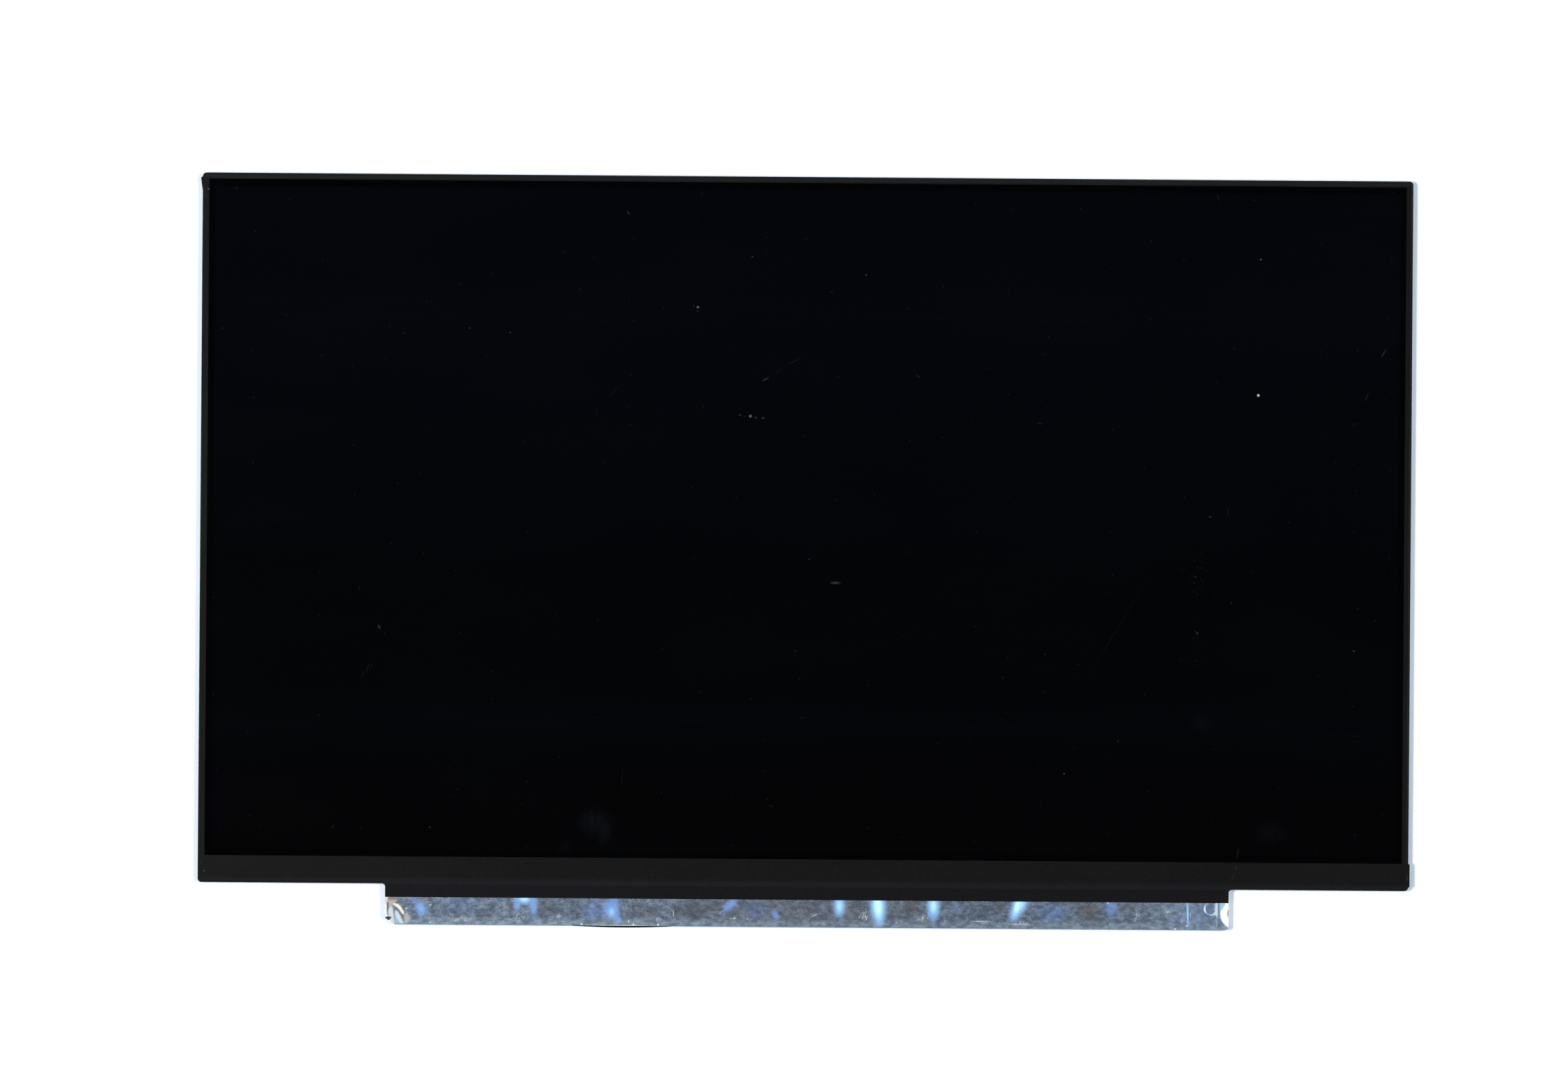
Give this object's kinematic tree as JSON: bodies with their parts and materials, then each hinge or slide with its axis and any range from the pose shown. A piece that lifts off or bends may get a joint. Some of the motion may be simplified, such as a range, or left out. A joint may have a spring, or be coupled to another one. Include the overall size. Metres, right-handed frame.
{
  "type": "laptop screen panel",
  "caption": "Bare laptop display panel: black screen, narrow taped border, and a lower tab with the control board under black tape and a dented aluminium shield foil.",
  "frame": {"origin": "under the middle of the active screen area, on the plane of the back plate's raised field", "axes": "+X to the right of the screen, +Y to its top edge, +Z out of the screen"},
  "size_m": [0.3165, 0.1961, 0.0024],
  "materials": {
    "plate_aluminium": "pressed sheet, satin",
    "frame_plastic": "moulded, black",
    "reflector_film": "white film",
    "guide_acrylic": "clear acrylic",
    "optical_film": "frosted film",
    "flex_film": "amber film",
    "led_body": "white body, yellow face",
    "polariser_film": "dark anti-glare film",
    "cell_glass": "thin display glass",
    "chip_silicon": "bare die",
    "board_laminate": "green solder mask",
    "shield_aluminium": "rolled foil, dented",
    "black_tape": "black film tape",
    "connector_plastic": "moulded, black",
    "shell_steel": "stamped, tinned",
    "contact_metal": "gold plated",
    "chip_plastic": "moulded package",
    "coil_ferrite": "pressed ferrite",
    "capacitor_ceramic": "tan, tinned ends",
    "resistor_ceramic": "dark glaze, tinned ends"
  },
  "bodies": {
    "root": {"back_plate": "plate_aluminium", "mould_frame": "frame_plastic", "reflector_sheet": "reflector_film", "light_guide": "guide_acrylic", "led_flex": "flex_film", "leds": "led_body", "diffuser_sheet": "optical_film", "lower_prism_sheet": "optical_film", "upper_prism_sheet": "optical_film", "rim_tape": "black_tape", "rear_polariser": "polariser_film", "array_glass": "cell_glass", "colour_filter_glass": "cell_glass", "front_polariser": "polariser_film", "driver_chips": "chip_silicon", "board_flexes": "flex_film", "control_board": "board_laminate", "shield_foil": "shield_aluminium", "top_tape": "black_tape", "left_tape": "black_tape", "right_tape": "black_tape", "lower_tape": "black_tape", "connector_housing": "connector_plastic", "connector_shell": "shell_steel", "connector_contacts": "contact_metal", "connector_tape": "black_tape", "timing_chip": "chip_plastic", "memory_chip": "chip_plastic", "power_chip": "chip_plastic", "backlight_chip": "chip_plastic", "power_coils": "coil_ferrite", "capacitors": "capacitor_ceramic", "resistors": "resistor_ceramic"}
  },
  "joints": []
}
